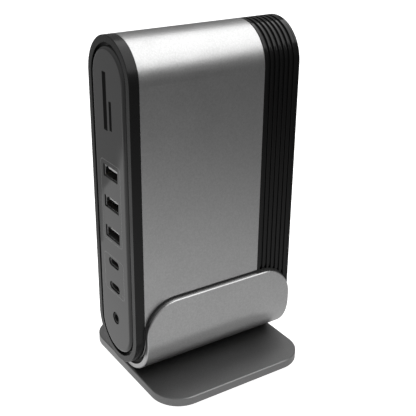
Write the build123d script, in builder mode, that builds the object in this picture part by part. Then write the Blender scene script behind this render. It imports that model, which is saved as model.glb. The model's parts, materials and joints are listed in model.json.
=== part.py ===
"""Laptop docking station standing in a U-shaped metal cradle on a flat base.

Frame: +Z up, the row of front ports faces -Y, origin on the floor under the centre of the housing.
All dimensions are in millimetres.
"""
from build123d import *
from math import hypot
import os

os.makedirs("parts", exist_ok=True)

# ---------------------------------------------------------------- driving dimensions
# Housing: a flattened tube with half-round top and bottom
BODY_WIDTH = 36.7
BODY_HEIGHT = 153.2
BODY_DEPTH = 86.0
BODY_BOTTOM_Z = 9.25
PANEL_PROUD = 0.5
BEZEL_DEPTH = 4.5
SLEEVE_LENGTH = 62.1
SLEEVE_WALL = 1.8
REAR_PLATE_THICKNESS = 1.4

# Front bezel and panel
RING_WIDTH = 3.1
PANEL_INSET = 4.35
PANEL_THICKNESS = 1.8
BEZEL_FLOOR = 1.6
SKIRT_WALL = 1.4
SKIRT_LENGTH = 4.0
SKIRT_GAP_SIZE = (16.0, 9.0)
SKIRT_GAP_X = -3.5
SKIRT_GAP_RISE = 14.0
SHADOW_GROOVE_DEPTH = 0.9
SLIDE_FIT = 0.15

# Ribbed rear shell
RIB_COUNT = 6
RIB_PITCH = 2.57
FIRST_GROOVE = 2.25
GROOVE_RADIUS = 0.65
GROOVE_DEPTH = 0.95
LAND_ROUNDING = 0.22
REAR_WALL = 3.0

# Stand
BASE_WIDTH = 79.0
BASE_DEPTH = 79.6
BASE_CENTRE_Y = 0.95
BASE_CORNER = 14.3
BASE_TOP_Z = 4.7
PAD_THICKNESS = 0.6
PAD_INSET = 0.7
CRADLE_OUTER_RADIUS = 20.95
CRADLE_THICKNESS = 2.35
CRADLE_FRONT_Y = -38.0
CRADLE_LENGTH = 80.2
CRADLE_BOTTOM_Z = 4.35
CRADLE_TOP_Z = 44.7
CRADLE_CORNER = 16.0
LINER_TOP_Z = 14.5
LINER_GAP = 0.15

# Port heights above the floor
USB_A_HEIGHTS = (103.15, 88.65, 74.15)
USB_C_HEIGHTS = (59.5, 47.2)
AUDIO_HEIGHT = 31.0
SD_SLOT_Z = 134.6
SD_SLOT_X = -2.6
SD_SLOT_LENGTH = 25.2
SD_SLOT_WIDTH = 3.3
MICRO_SLOT_X = 2.0
MICRO_SLOT_LENGTH = 12.8
MICRO_SLOT_WIDTH = 2.2
MICRO_SLOT_RISE = 0.7
INDICATOR_X = 7.2
INDICATOR_Z = 46.0
INDICATOR_RADIUS = 0.55
ETHERNET_HEIGHT = 137.0
HDMI_HEIGHTS = (118.0, 104.0)
REAR_USB_A_HEIGHTS = (88.65, 74.15)
REAR_USB_C_HEIGHTS = (59.5, 47.2)

# Standard connector bodies
USB_A_SIZE = (13.1, 5.7)
USB_C_SIZE = (8.94, 3.26)
USB_C_OPENING = (9.6, 3.9)
HDMI_SIZE = (15.1, 5.5)
ETHERNET_SIZE = (16.0, 13.5)
AUDIO_NOZZLE_RADIUS = 2.9
AUDIO_BORE_RADIUS = 1.8
AUDIO_BORE_LENGTH = 14.0
SHELL_WALL = 0.3
PORT_GAP = 0.2
CONNECTOR_RECESS = 1.1

# Boards, frame and fasteners
BOARD_THICKNESS = 1.6
MAIN_BOARD_THICKNESS = 1.2
FRONT_BOARD_Y = -26.5
REAR_BOARD_Y = 24.5
BOARD_WIDTH = 29.0
CHANNEL_HEIGHT = 69.0
CHANNEL_RADIUS = 3.0
WEB_WIDTH = 2.4
WEB_RISE = 3.0
SCREW_RADIUS = 1.2
SCREW_FIT = 0.05
LOOSE_FIT = 0.1
SMALL_SCREW_RADIUS = 1.0
HEAD_RECESS_RADIUS = 2.3
FRONT_HEAD_RECESS = 1.3
REAR_HEAD_RECESS = 0.9
SEAT_FIT = 0.02
OVERCUT = 1.0
TRAY_X = -9.0
TRAY_THICKNESS = 2.0

# ---------------------------------------------------------------- worked-out places
BODY_MID_Z = BODY_BOTTOM_Z + BODY_HEIGHT / 2
STRAIGHT = (BODY_HEIGHT - BODY_WIDTH) / 2
PANEL_FACE_Y = -BODY_DEPTH / 2
RING_FACE_Y = PANEL_FACE_Y + PANEL_PROUD
PANEL_BACK_Y = PANEL_FACE_Y + PANEL_THICKNESS
SLEEVE_FRONT_Y = RING_FACE_Y + BEZEL_DEPTH
SLEEVE_REAR_Y = SLEEVE_FRONT_Y + SLEEVE_LENGTH
REAR_FACE_Y = BODY_DEPTH / 2
PLATE_FRONT_Y = REAR_FACE_Y - REAR_PLATE_THICKNESS
REAR_DEPTH = PLATE_FRONT_Y - SLEEVE_REAR_Y
SLEEVE_INSET = SLEEVE_WALL + SLIDE_FIT
CONNECTOR_FACE_Y = PANEL_FACE_Y + CONNECTOR_RECESS
REAR_CONNECTOR_FACE_Y = REAR_FACE_Y - 0.5
CRADLE_CENTRE_Z = CRADLE_BOTTOM_Z + CRADLE_OUTER_RADIUS
CRADLE_INNER_RADIUS = CRADLE_OUTER_RADIUS - CRADLE_THICKNESS
CRADLE_MID_Y = CRADLE_FRONT_Y + CRADLE_LENGTH / 2
CRADLE_LEG = CRADLE_TOP_Z - CRADLE_CENTRE_Z
LOWER_AXIS_Z = BODY_MID_Z - STRAIGHT
FRONT_LENGTH = FRONT_BOARD_Y - CONNECTOR_FACE_Y
REAR_SOLDER_Y = REAR_BOARD_Y + BOARD_THICKNESS
REAR_LENGTH = REAR_CONNECTOR_FACE_Y - REAR_SOLDER_Y
MICRO_SLOT_Z = SD_SLOT_Z - (SD_SLOT_LENGTH - MICRO_SLOT_LENGTH) / 2 + MICRO_SLOT_RISE


# ---------------------------------------------------------------- planes and outlines
def front_facing(y, x=0.0, z=BODY_MID_Z):
    """Upright plane that faces the front; local x is +X and local y is +Z."""
    return Plane(origin=(x, y, z), x_dir=(1, 0, 0), z_dir=(0, -1, 0))


def rear_facing(y, x=0.0, z=BODY_MID_Z):
    """Upright plane that faces the back; local x is -X and local y is +Z."""
    return Plane(origin=(x, y, z), x_dir=(-1, 0, 0), z_dir=(0, 1, 0))


def side_facing(x, y=0.0, z=0.0):
    """Upright plane that faces +X; local x is +Y and local y is +Z."""
    return Plane(origin=(x, y, z), x_dir=(0, 1, 0), z_dir=(1, 0, 0))


def housing_outline(inset=0.0, mode=Mode.ADD):
    """The housing's cross-section, drawn that far inside its outer surface."""
    SlotOverall(BODY_HEIGHT - 2 * inset, BODY_WIDTH - 2 * inset, rotation=90, mode=mode)


def outline_inset(edge):
    """How far inside the housing's outer surface the middle of an edge lies."""
    point = edge @ 0.5
    beyond_straight = max(abs(point.Z - BODY_MID_Z) - STRAIGHT, 0)
    return BODY_WIDTH / 2 - hypot(point.X, beyond_straight)


def outline_edges(piece, y, inset):
    """Edges of a piece at one depth that run along the housing outline at one inset."""
    return ShapeList(
        edge for edge in piece.edges()
        if abs((edge @ 0.5).Y - y) < 0.01
        and abs((edge @ 0).Y - y) < 0.01
        and abs(outline_inset(edge) - inset) < 0.01
    )


# ---------------------------------------------------------------- stand
base_plane = Plane((0, BASE_CENTRE_Y, 0))

with BuildPart() as foot_pad:
    with BuildSketch(base_plane):
        RectangleRounded(
            BASE_WIDTH - 2 * PAD_INSET, BASE_DEPTH - 2 * PAD_INSET, BASE_CORNER - PAD_INSET
        )
    extrude(amount=PAD_THICKNESS)
foot_pad.part.label = "foot_pad"
export_step(foot_pad.part, "parts/foot_pad.step")

CRADLE_SCREW_SPACING = 26.0
CRADLE_SCREW_YS = [CRADLE_MID_Y + step * CRADLE_SCREW_SPACING for step in (-1, 0, 1)]
CRADLE_SCREW_RADIUS = 1.5
CRADLE_HEAD_RADIUS = 2.9
COUNTERSINK_ANGLE = 90
BASE_EDGE_CHAMFER = 0.35
CRADLE_EDGE_CHAMFER = 0.4

with BuildPart() as base_plate:
    with BuildSketch(base_plane.offset(PAD_THICKNESS)):
        RectangleRounded(BASE_WIDTH, BASE_DEPTH, BASE_CORNER)
    extrude(amount=BASE_TOP_Z - PAD_THICKNESS)
    chamfer(base_plate.edges().group_by(Axis.Z)[-1], BASE_EDGE_CHAMFER)
    # Shallow seat that the round underside of the cradle drops into
    with BuildSketch(front_facing(CRADLE_FRONT_Y - LOOSE_FIT, z=CRADLE_CENTRE_Z)):
        Circle(CRADLE_OUTER_RADIUS + SEAT_FIT)
    extrude(amount=-(CRADLE_LENGTH + 2 * LOOSE_FIT), mode=Mode.SUBTRACT)
    for screw_y in CRADLE_SCREW_YS:
        with Locations(Plane((0, screw_y, PAD_THICKNESS), z_dir=(0, 0, -1))):
            CounterSinkHole(
                CRADLE_SCREW_RADIUS + SCREW_FIT,
                CRADLE_HEAD_RADIUS + LOOSE_FIT,
                depth=BASE_TOP_Z,
                counter_sink_angle=COUNTERSINK_ANGLE,
            )
base_plate.part.label = "base_plate"
export_step(base_plate.part, "parts/base_plate.step")


def cradle_skin_edges(piece):
    """The sharp outline of the cradle's outer skin, without the smooth seams along it."""
    edges = ShapeList()
    for edge in piece.edges():
        point = edge @ 0.5
        below_axis = min(point.Z - CRADLE_CENTRE_Z, 0)
        on_skin = abs(hypot(point.X, below_axis) - CRADLE_OUTER_RADIUS) < 0.01
        along_y = edge.geom_type == GeomType.LINE and abs((edge @ 1).Y - (edge @ 0).Y) > 0.01
        smooth_seam = along_y and point.Z < CRADLE_TOP_Z - 0.01
        if on_skin and not smooth_seam:
            edges.append(edge)
    return edges


with BuildPart() as cradle:
    with BuildSketch(front_facing(CRADLE_FRONT_Y, z=CRADLE_CENTRE_Z)):
        for radius, mode in (
            (CRADLE_OUTER_RADIUS, Mode.ADD),
            (CRADLE_INNER_RADIUS, Mode.SUBTRACT),
        ):
            Circle(radius, mode=mode)
            Rectangle(
                2 * radius, CRADLE_LEG + OVERCUT, align=(Align.CENTER, Align.MIN), mode=mode
            )
    extrude(amount=-CRADLE_LENGTH)
    # Side view: both walls have large rounded upper corners
    with BuildSketch(side_facing(0, CRADLE_MID_Y, CRADLE_BOTTOM_Z)) as side_view:
        Rectangle(CRADLE_LENGTH, CRADLE_TOP_Z - CRADLE_BOTTOM_Z, align=(Align.CENTER, Align.MIN))
        fillet(side_view.vertices().group_by(Axis.Y)[-1], CRADLE_CORNER)
    extrude(amount=CRADLE_OUTER_RADIUS + OVERCUT, both=True, mode=Mode.INTERSECT)
    chamfer(cradle_skin_edges(cradle), CRADLE_EDGE_CHAMFER)
    for screw_y in CRADLE_SCREW_YS:
        with Locations(Plane((0, screw_y, CRADLE_BOTTOM_Z + CRADLE_THICKNESS + OVERCUT))):
            Hole(CRADLE_SCREW_RADIUS + SCREW_FIT, depth=CRADLE_THICKNESS + 2 * OVERCUT)
cradle.part.label = "cradle"
export_step(cradle.part, "parts/cradle.step")

LINER_SETBACK = 1.0
with BuildPart() as cradle_liner:
    with BuildSketch(front_facing(CRADLE_FRONT_Y + LINER_SETBACK, z=CRADLE_CENTRE_Z)):
        Circle(CRADLE_INNER_RADIUS - SEAT_FIT)
        with Locations((0, LOWER_AXIS_Z - CRADLE_CENTRE_Z)):
            Circle(BODY_WIDTH / 2 + LINER_GAP, mode=Mode.SUBTRACT)
        with Locations((0, LINER_TOP_Z - CRADLE_CENTRE_Z)):
            Rectangle(
                BASE_WIDTH, CRADLE_TOP_Z, align=(Align.CENTER, Align.MIN), mode=Mode.SUBTRACT
            )
    extrude(amount=-(CRADLE_LENGTH - 2 * LINER_SETBACK))
cradle_liner.part.label = "cradle_liner"
export_step(cradle_liner.part, "parts/cradle_liner.step")

CRADLE_HEAD_HEIGHT = CRADLE_HEAD_RADIUS - CRADLE_SCREW_RADIUS
CRADLE_SCREW_LENGTH = CRADLE_BOTTOM_Z + CRADLE_THICKNESS - PAD_THICKNESS - 0.3
HEX_RADIUS = 1.1
HEX_DEPTH = 0.9
with BuildPart() as cradle_screws:
    for screw_y in CRADLE_SCREW_YS:
        with BuildSketch(Plane((0, screw_y, PAD_THICKNESS))):
            Circle(CRADLE_SCREW_RADIUS)
        extrude(amount=CRADLE_SCREW_LENGTH)
        with BuildSketch(Plane((0, screw_y, PAD_THICKNESS))):
            Circle(CRADLE_HEAD_RADIUS)
        with BuildSketch(Plane((0, screw_y, PAD_THICKNESS + CRADLE_HEAD_HEIGHT))):
            Circle(CRADLE_SCREW_RADIUS)
        loft()
        with BuildSketch(Plane((0, screw_y, PAD_THICKNESS))):
            RegularPolygon(HEX_RADIUS, 6)
        extrude(amount=HEX_DEPTH, mode=Mode.SUBTRACT)
cradle_screws.part.label = "cradle_screws"
export_step(cradle_screws.part, "parts/cradle_screws.step")

# ---------------------------------------------------------------- housing shells
CHANNELS = ((0, CHANNEL_HEIGHT), (0, -CHANNEL_HEIGHT))
WEB_CENTRES = ((0, CHANNEL_HEIGHT + WEB_RISE), (0, -CHANNEL_HEIGHT - WEB_RISE))
SKIRT_GAPS = ((SKIRT_GAP_X, STRAIGHT + SKIRT_GAP_RISE), (SKIRT_GAP_X, -STRAIGHT - SKIRT_GAP_RISE))
SLEEVE_EDGE_CHAMFER = 0.3
GUIDE_THICKNESS = 1.0
GUIDE_OFFSET = GUIDE_THICKNESS / 2 + LOOSE_FIT
GUIDE_START = 68.0
# Each guide rib as its x and how far it reaches from the housing's middle
GUIDE_RIBS = ((TRAY_X - GUIDE_OFFSET, 73.0), (TRAY_X + TRAY_THICKNESS + GUIDE_OFFSET, 74.5))

with BuildPart() as housing_sleeve:
    with BuildSketch(front_facing(SLEEVE_FRONT_Y)):
        housing_outline()
        housing_outline(SLEEVE_WALL, mode=Mode.SUBTRACT)
        with Locations(*CHANNELS):
            Circle(CHANNEL_RADIUS)
        with Locations(*WEB_CENTRES):
            Rectangle(WEB_WIDTH, 7.0)
        with Locations(*CHANNELS):
            Circle(SCREW_RADIUS + SCREW_FIT, mode=Mode.SUBTRACT)
        # Pairs of ribs that the carrier frame slides between
        for rib_x, rib_reach in GUIDE_RIBS:
            for side in (1, -1):
                with Locations((rib_x, side * (rib_reach + GUIDE_START) / 2)):
                    Rectangle(GUIDE_THICKNESS, rib_reach - GUIDE_START)
    extrude(amount=-SLEEVE_LENGTH)
    chamfer(outline_edges(housing_sleeve, SLEEVE_FRONT_Y, 0), SLEEVE_EDGE_CHAMFER)
    chamfer(outline_edges(housing_sleeve, SLEEVE_REAR_Y, 0), SLEEVE_EDGE_CHAMFER)
housing_sleeve.part.label = "housing_sleeve"
export_step(housing_sleeve.part, "parts/housing_sleeve.step")

FLOOR_BACK_Y = PANEL_BACK_Y + BEZEL_FLOOR
POST_XS = (-10.6, 10.6)
FRONT_POST_ZS = (95.0, 52.0)
POST_RADIUS = 2.0
BOARD_HOLE_DEPTH = 6.0
RING_OUTER_CHAMFER = 0.2
RING_INNER_CHAMFER = 0.2
READER_WINDOW_X = -0.6
READER_WINDOW_SIZE = (8.2, SD_SLOT_LENGTH + 4.2)

with BuildPart() as front_bezel:
    with BuildSketch(front_facing(RING_FACE_Y)):
        housing_outline()
    extrude(amount=-BEZEL_DEPTH)
    chamfer(outline_edges(front_bezel, RING_FACE_Y, 0), RING_OUTER_CHAMFER)
    with BuildSketch(front_facing(RING_FACE_Y)):
        housing_outline(RING_WIDTH)
    extrude(amount=-(PANEL_BACK_Y - RING_FACE_Y), mode=Mode.SUBTRACT)
    chamfer(outline_edges(front_bezel, RING_FACE_Y, RING_WIDTH), RING_INNER_CHAMFER)
    # Groove that deepens the gap between the ring and the panel
    with BuildSketch(front_facing(PANEL_BACK_Y)):
        housing_outline(RING_WIDTH)
        housing_outline(PANEL_INSET + SHELL_WALL, mode=Mode.SUBTRACT)
    extrude(amount=-SHADOW_GROOVE_DEPTH, mode=Mode.SUBTRACT)
    with BuildSketch(front_facing(SLEEVE_FRONT_Y)):
        housing_outline(SLEEVE_INSET)
    extrude(amount=-SKIRT_LENGTH)
    with BuildSketch(front_facing(FLOOR_BACK_Y)):
        housing_outline(SLEEVE_INSET + SKIRT_WALL)
    extrude(amount=-(SLEEVE_FRONT_Y + SKIRT_LENGTH - FLOOR_BACK_Y), mode=Mode.SUBTRACT)
    # Gaps in the skirt that clear the sleeve's screw channels and guide ribs
    with BuildSketch(front_facing(SLEEVE_FRONT_Y)):
        with Locations(*SKIRT_GAPS):
            Rectangle(*SKIRT_GAP_SIZE)
    extrude(amount=-(SKIRT_LENGTH + OVERCUT), mode=Mode.SUBTRACT)
    # Bosses that meet the sleeve's screw channels
    with BuildSketch(front_facing(FLOOR_BACK_Y)):
        with Locations(*CHANNELS):
            Circle(CHANNEL_RADIUS)
    extrude(amount=-(SLEEVE_FRONT_Y - FLOOR_BACK_Y))
    with BuildSketch(front_facing(PANEL_BACK_Y)):
        with Locations(*CHANNELS):
            Circle(SCREW_RADIUS + LOOSE_FIT)
    extrude(amount=-(SLEEVE_FRONT_Y - PANEL_BACK_Y + OVERCUT), mode=Mode.SUBTRACT)
    with BuildSketch(front_facing(PANEL_BACK_Y)):
        with Locations(*CHANNELS):
            Circle(HEAD_RECESS_RADIUS)
    extrude(amount=-FRONT_HEAD_RECESS, mode=Mode.SUBTRACT)
    # Posts that carry the front port board
    for post_z in FRONT_POST_ZS:
        with BuildSketch(front_facing(FLOOR_BACK_Y, z=post_z)):
            with Locations(*[(post_x, 0) for post_x in POST_XS]):
                Circle(POST_RADIUS)
        extrude(amount=-(FRONT_BOARD_Y - FLOOR_BACK_Y))
        with BuildSketch(front_facing(FRONT_BOARD_Y, z=post_z)):
            with Locations(*[(post_x, 0) for post_x in POST_XS]):
                Circle(SMALL_SCREW_RADIUS + SCREW_FIT)
        extrude(amount=BOARD_HOLE_DEPTH, mode=Mode.SUBTRACT)
    # Openings behind the panel
    with BuildSketch(front_facing(PANEL_BACK_Y, z=0)):
        for port_z in USB_A_HEIGHTS:
            with Locations((0, port_z)):
                Rectangle(USB_A_SIZE[0] + 2 * PORT_GAP, USB_A_SIZE[1] + 2 * PORT_GAP)
        for port_z in USB_C_HEIGHTS:
            with Locations((0, port_z)):
                SlotOverall(*[size + 2 * PORT_GAP for size in USB_C_SIZE])
        with Locations((0, AUDIO_HEIGHT)):
            Circle(AUDIO_NOZZLE_RADIUS + LOOSE_FIT)
        with Locations((INDICATOR_X, INDICATOR_Z)):
            Circle(INDICATOR_RADIUS + PORT_GAP)
        with Locations((READER_WINDOW_X, SD_SLOT_Z)):
            Rectangle(*READER_WINDOW_SIZE)
    extrude(amount=-BEZEL_FLOOR, mode=Mode.SUBTRACT)
front_bezel.part.label = "front_bezel"
export_step(front_bezel.part, "parts/front_bezel.step")

PANEL_ROUNDING = 1.7
USB_A_CORNER = 0.35
SLOT_CORNER = 0.4

with BuildPart() as front_panel:
    with BuildSketch(front_facing(PANEL_FACE_Y)):
        housing_outline(PANEL_INSET)
    extrude(amount=-PANEL_THICKNESS)
    fillet(outline_edges(front_panel, PANEL_FACE_Y, PANEL_INSET), PANEL_ROUNDING)
    with BuildSketch(front_facing(PANEL_FACE_Y, z=0)):
        for port_z in USB_A_HEIGHTS:
            with Locations((0, port_z)):
                RectangleRounded(*USB_A_SIZE, USB_A_CORNER)
        for port_z in USB_C_HEIGHTS:
            with Locations((0, port_z)):
                SlotOverall(*USB_C_OPENING)
        with Locations((0, AUDIO_HEIGHT)):
            Circle(AUDIO_NOZZLE_RADIUS + LOOSE_FIT)
        with Locations((INDICATOR_X, INDICATOR_Z)):
            Circle(INDICATOR_RADIUS + SCREW_FIT)
        with Locations((SD_SLOT_X, SD_SLOT_Z)):
            RectangleRounded(SD_SLOT_WIDTH, SD_SLOT_LENGTH, SLOT_CORNER)
        with Locations((MICRO_SLOT_X, MICRO_SLOT_Z)):
            RectangleRounded(MICRO_SLOT_WIDTH, MICRO_SLOT_LENGTH, SLOT_CORNER)
    extrude(amount=-PANEL_THICKNESS, mode=Mode.SUBTRACT)
    # Relief behind each USB-A opening, so that the connector shell stops behind the lip
    with BuildSketch(front_facing(CONNECTOR_FACE_Y - SCREW_FIT, z=0)):
        for port_z in USB_A_HEIGHTS:
            with Locations((0, port_z)):
                Rectangle(USB_A_SIZE[0] + 2 * PORT_GAP, USB_A_SIZE[1] + 2 * PORT_GAP)
    extrude(amount=-PANEL_THICKNESS, mode=Mode.SUBTRACT)
front_panel.part.label = "front_panel"
export_step(front_panel.part, "parts/front_panel.step")


def rear_wall_section():
    """Section of the ribbed wall: x runs outwards from the inner face, y runs backwards."""
    groove_floor = REAR_WALL - GROOVE_DEPTH
    with BuildSketch(Plane.XY) as section:
        with Locations((REAR_WALL / 2, REAR_DEPTH / 2)):
            Rectangle(REAR_WALL, REAR_DEPTH)
        for index in range(RIB_COUNT):
            with Locations((groove_floor + GROOVE_RADIUS, FIRST_GROOVE + index * RIB_PITCH)):
                Circle(GROOVE_RADIUS, mode=Mode.SUBTRACT)
            with Locations((REAR_WALL, FIRST_GROOVE + index * RIB_PITCH)):
                Rectangle(
                    2 * (GROOVE_DEPTH - GROOVE_RADIUS), 2 * GROOVE_RADIUS, mode=Mode.SUBTRACT
                )
        land_corners = section.vertices().filter_by(lambda v: abs(v.X - REAR_WALL) < 1e-4)
        fillet(land_corners, LAND_ROUNDING)
    return section.sketch


def housing_path(y):
    """The housing's outer outline as a closed path, starting half-way up the +X side."""
    radius = BODY_WIDTH / 2
    with BuildLine(front_facing(y)) as path:
        Line((radius, 0), (radius, STRAIGHT))
        CenterArc((0, STRAIGHT), radius, 0, 180)
        Line((-radius, STRAIGHT), (-radius, -STRAIGHT))
        CenterArc((0, -STRAIGHT), radius, 180, 180)
        Line((radius, -STRAIGHT), (radius, 0))
    return path.wire()


wall_start = Plane(
    origin=(BODY_WIDTH / 2 - REAR_WALL, SLEEVE_REAR_Y, BODY_MID_Z),
    x_dir=(1, 0, 0),
    z_dir=(0, 0, 1),
)
LUG_ZS = (124.5, 66.0)
LUG_X = 12.6
LUG_SIZE = (4.6, 5.0)
LUG_SHIFT = 1.3
LUG_LENGTH = 7.0
LUG_HOLE_DEPTH = 5.5

with BuildPart() as rear_shell:
    sweep(sections=wall_start * rear_wall_section(), path=housing_path(SLEEVE_REAR_Y))
    with BuildSketch(front_facing(SLEEVE_REAR_Y - SKIRT_LENGTH)):
        housing_outline(SLEEVE_INSET)
        housing_outline(SLEEVE_INSET + SKIRT_WALL, mode=Mode.SUBTRACT)
        with Locations(*SKIRT_GAPS):
            Rectangle(*SKIRT_GAP_SIZE, mode=Mode.SUBTRACT)
    extrude(amount=-(SKIRT_LENGTH + OVERCUT))
    # Bosses that meet the sleeve's screw channels
    with BuildSketch(front_facing(SLEEVE_REAR_Y)):
        with Locations(*CHANNELS):
            Circle(CHANNEL_RADIUS)
        with Locations(*WEB_CENTRES):
            Rectangle(WEB_WIDTH, 5.0)
        with Locations(*CHANNELS):
            Circle(SCREW_RADIUS + LOOSE_FIT, mode=Mode.SUBTRACT)
    extrude(amount=-REAR_DEPTH)
    # Lugs that carry the rear port board
    for lug_z in LUG_ZS:
        for side in (1, -1):
            with BuildSketch(front_facing(REAR_SOLDER_Y, side * (LUG_X + LUG_SHIFT), lug_z)):
                Rectangle(*LUG_SIZE)
            extrude(amount=-LUG_LENGTH)
            with BuildSketch(front_facing(REAR_SOLDER_Y, side * LUG_X, lug_z)):
                Circle(SMALL_SCREW_RADIUS + SCREW_FIT)
            extrude(amount=-LUG_HOLE_DEPTH, mode=Mode.SUBTRACT)
rear_shell.part.label = "rear_shell"
export_step(rear_shell.part, "parts/rear_shell.step")

PLATE_ROUNDING = 0.25

with BuildPart() as rear_port_plate:
    with BuildSketch(front_facing(PLATE_FRONT_Y)):
        housing_outline()
    extrude(amount=-REAR_PLATE_THICKNESS)
    fillet(outline_edges(rear_port_plate, REAR_FACE_Y, 0), PLATE_ROUNDING)
    with BuildSketch(front_facing(PLATE_FRONT_Y, z=0)):
        for port_z in REAR_USB_A_HEIGHTS:
            with Locations((0, port_z)):
                Rectangle(USB_A_SIZE[0] + 2 * PORT_GAP, USB_A_SIZE[1] + 2 * PORT_GAP)
        for port_z in HDMI_HEIGHTS:
            with Locations((0, port_z)):
                Rectangle(HDMI_SIZE[0] + 2 * PORT_GAP, HDMI_SIZE[1] + 2 * PORT_GAP)
        for port_z in REAR_USB_C_HEIGHTS:
            with Locations((0, port_z)):
                SlotOverall(*[size + 2 * PORT_GAP for size in USB_C_SIZE])
        with Locations((0, ETHERNET_HEIGHT)):
            Rectangle(ETHERNET_SIZE[0] + 2 * PORT_GAP, ETHERNET_SIZE[1] + 2 * PORT_GAP)
        with Locations((0, BODY_MID_Z + CHANNEL_HEIGHT), (0, BODY_MID_Z - CHANNEL_HEIGHT)):
            Circle(SCREW_RADIUS + LOOSE_FIT)
    extrude(amount=-REAR_PLATE_THICKNESS, mode=Mode.SUBTRACT)
    with BuildSketch(rear_facing(REAR_FACE_Y)):
        with Locations(*CHANNELS):
            Circle(HEAD_RECESS_RADIUS)
    extrude(amount=-REAR_HEAD_RECESS, mode=Mode.SUBTRACT)
rear_port_plate.part.label = "rear_port_plate"
export_step(rear_port_plate.part, "parts/rear_port_plate.step")


# ---------------------------------------------------------------- fasteners
CASE_HEAD_RADIUS = 2.2
FRONT_SCREW_LENGTH = 8.0
REAR_SCREW_LENGTH = 26.0
BOARD_HEAD_RADIUS = 1.7
BOARD_HEAD_HEIGHT = 1.1
BOARD_SCREW_LENGTH = 6.0
CROSS_SPAN = 1.3
CROSS_SLOT = 0.35


def cross_head_screw(plane, radius, head_radius, head_height, length):
    """A pan-head screw on a plane: the head stands out of the plane, the shank runs into it."""
    with BuildSketch(plane) as shank:
        Circle(radius)
    extrude(shank.sketch, amount=-length)
    with BuildSketch(plane) as head:
        Circle(head_radius)
    extrude(head.sketch, amount=head_height)
    with BuildSketch(plane.offset(head_height)) as cross:
        Rectangle(head_radius * CROSS_SPAN, CROSS_SLOT)
        Rectangle(CROSS_SLOT, head_radius * CROSS_SPAN)
    extrude(cross.sketch, amount=-head_height * 0.6, mode=Mode.SUBTRACT)


with BuildPart() as bezel_screws:
    for side in (1, -1):
        cross_head_screw(
            front_facing(PANEL_BACK_Y + FRONT_HEAD_RECESS, z=BODY_MID_Z + side * CHANNEL_HEIGHT),
            SCREW_RADIUS, CASE_HEAD_RADIUS, FRONT_HEAD_RECESS - LOOSE_FIT, FRONT_SCREW_LENGTH,
        )
bezel_screws.part.label = "bezel_screws"
export_step(bezel_screws.part, "parts/bezel_screws.step")

with BuildPart() as rear_cover_screws:
    for side in (1, -1):
        cross_head_screw(
            rear_facing(REAR_FACE_Y - REAR_HEAD_RECESS, z=BODY_MID_Z + side * CHANNEL_HEIGHT),
            SCREW_RADIUS, CASE_HEAD_RADIUS, REAR_HEAD_RECESS - LOOSE_FIT, REAR_SCREW_LENGTH,
        )
rear_cover_screws.part.label = "rear_cover_screws"
export_step(rear_cover_screws.part, "parts/rear_cover_screws.step")

with BuildPart() as front_board_screws:
    for post_z in FRONT_POST_ZS:
        for post_x in POST_XS:
            cross_head_screw(
                rear_facing(FRONT_BOARD_Y + BOARD_THICKNESS, post_x, post_z),
                SMALL_SCREW_RADIUS, BOARD_HEAD_RADIUS, BOARD_HEAD_HEIGHT, BOARD_SCREW_LENGTH,
            )
front_board_screws.part.label = "front_board_screws"
export_step(front_board_screws.part, "parts/front_board_screws.step")

with BuildPart() as rear_board_screws:
    for lug_z in LUG_ZS:
        for side in (1, -1):
            cross_head_screw(
                front_facing(REAR_BOARD_Y, side * LUG_X, lug_z),
                SMALL_SCREW_RADIUS, BOARD_HEAD_RADIUS, BOARD_HEAD_HEIGHT, BOARD_SCREW_LENGTH,
            )
rear_board_screws.part.label = "rear_board_screws"
export_step(rear_board_screws.part, "parts/rear_board_screws.step")

# ---------------------------------------------------------------- boards and carrier frame
FRONT_BOARD_LOW, FRONT_BOARD_HIGH = 21.0, 116.0
REAR_BOARD_LOW, REAR_BOARD_HIGH = 24.0, 146.0
MAIN_BOARD_LOW, MAIN_BOARD_HIGH = 22.0, 150.0
MAIN_FRONT_Y = FRONT_BOARD_Y + BOARD_THICKNESS + 0.3
MAIN_REAR_Y = REAR_BOARD_Y - 0.3
READER_FRONT_Y = FLOOR_BACK_Y + 0.8
MAIN_SCREWS = ((-18, 30), (18, 30), (18, 142), (-6, 142))
MAIN_HOLE_RADIUS = 1.2
BOARD_CORNER = 4.0
BOARD_STEP_Z = FRONT_BOARD_HIGH + 2.0

with BuildPart() as front_port_board:
    with BuildSketch(front_facing(FRONT_BOARD_Y, z=(FRONT_BOARD_LOW + FRONT_BOARD_HIGH) / 2)):
        RectangleRounded(BOARD_WIDTH, FRONT_BOARD_HIGH - FRONT_BOARD_LOW, BOARD_CORNER)
    extrude(amount=-BOARD_THICKNESS)
    with BuildSketch(front_facing(FRONT_BOARD_Y, z=0)):
        for post_z in FRONT_POST_ZS:
            with Locations(*[(post_x, post_z) for post_x in POST_XS]):
                Circle(MAIN_HOLE_RADIUS)
    extrude(amount=-BOARD_THICKNESS, mode=Mode.SUBTRACT)
front_port_board.part.label = "front_port_board"
export_step(front_port_board.part, "parts/front_port_board.step")

with BuildPart() as rear_port_board:
    with BuildSketch(front_facing(REAR_BOARD_Y, z=(REAR_BOARD_LOW + REAR_BOARD_HIGH) / 2)):
        RectangleRounded(BOARD_WIDTH, REAR_BOARD_HIGH - REAR_BOARD_LOW, BOARD_CORNER)
    extrude(amount=-BOARD_THICKNESS)
    with BuildSketch(front_facing(REAR_BOARD_Y, z=0)):
        for lug_z in LUG_ZS:
            with Locations((LUG_X, lug_z), (-LUG_X, lug_z)):
                Circle(MAIN_HOLE_RADIUS)
    extrude(amount=-BOARD_THICKNESS, mode=Mode.SUBTRACT)
rear_port_board.part.label = "rear_port_board"
export_step(rear_port_board.part, "parts/rear_port_board.step")

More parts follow.
